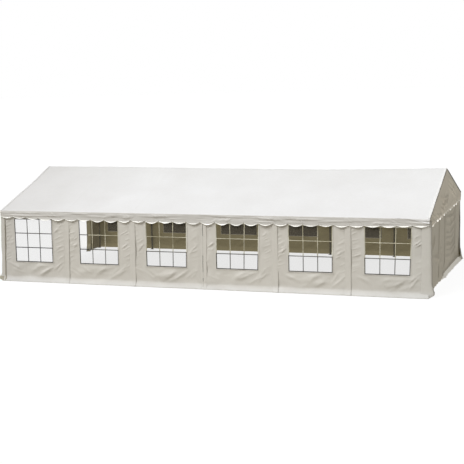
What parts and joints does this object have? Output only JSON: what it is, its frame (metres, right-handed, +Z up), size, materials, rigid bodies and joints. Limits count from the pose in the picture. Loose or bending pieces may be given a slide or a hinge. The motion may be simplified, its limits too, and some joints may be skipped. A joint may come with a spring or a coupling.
{
  "type": "party marquee tent",
  "caption": "Rectangular party marquee: pitched fabric roof with scalloped valances on a steel frame, window walls on the long sides, one closed end, one curtained open end.",
  "frame": {"origin": "centre of the footprint, on the ground", "axes": "+X along the length towards the closed end, +Y towards the back wall, +Z up"},
  "size_m": [12.1202, 6.12, 2.975],
  "materials": {
    "frame_steel": "dark powder coat",
    "roof_fabric": "white coated cloth, satin",
    "wall_fabric": "off-white coated cloth, creased",
    "trim_fabric": "off-white coated cloth with a piped hem",
    "curtain_fabric": "off-white coated cloth in shade",
    "window_film": "clear flexible film"
  },
  "bodies": {
    "root": {"frame_1": "frame_steel", "frame_2": "frame_steel", "frame_3": "frame_steel", "frame_4": "frame_steel", "frame_5": "frame_steel", "frame_6": "frame_steel", "frame_7": "frame_steel", "eave_purlin_front": "frame_steel", "mid_purlin_front": "frame_steel", "ridge_purlin": "frame_steel", "mid_purlin_back": "frame_steel", "eave_purlin_back": "frame_steel", "front_wall_1": "wall_fabric", "front_wall_2": "wall_fabric", "front_wall_3": "wall_fabric", "front_wall_4": "wall_fabric", "front_wall_5": "wall_fabric", "front_wall_6": "wall_fabric", "front_window_1": "window_film", "front_window_2": "window_film", "front_window_3": "window_film", "front_window_4": "window_film", "front_window_5": "window_film", "front_window_6": "window_film", "back_wall_1": "wall_fabric", "back_wall_2": "wall_fabric", "back_wall_3": "wall_fabric", "back_wall_4": "wall_fabric", "back_wall_5": "wall_fabric", "back_wall_6": "wall_fabric", "back_window_1": "window_film", "back_window_2": "window_film", "back_window_3": "window_film", "back_window_4": "window_film", "back_window_5": "window_film", "back_window_6": "window_film", "right_wall_near": "wall_fabric", "right_wall_far": "wall_fabric", "left_curtain_near": "curtain_fabric", "left_curtain_far": "curtain_fabric", "roof": "roof_fabric", "front_valance": "trim_fabric", "back_valance": "trim_fabric", "left_gable": "trim_fabric", "right_gable": "trim_fabric"}
  },
  "joints": []
}
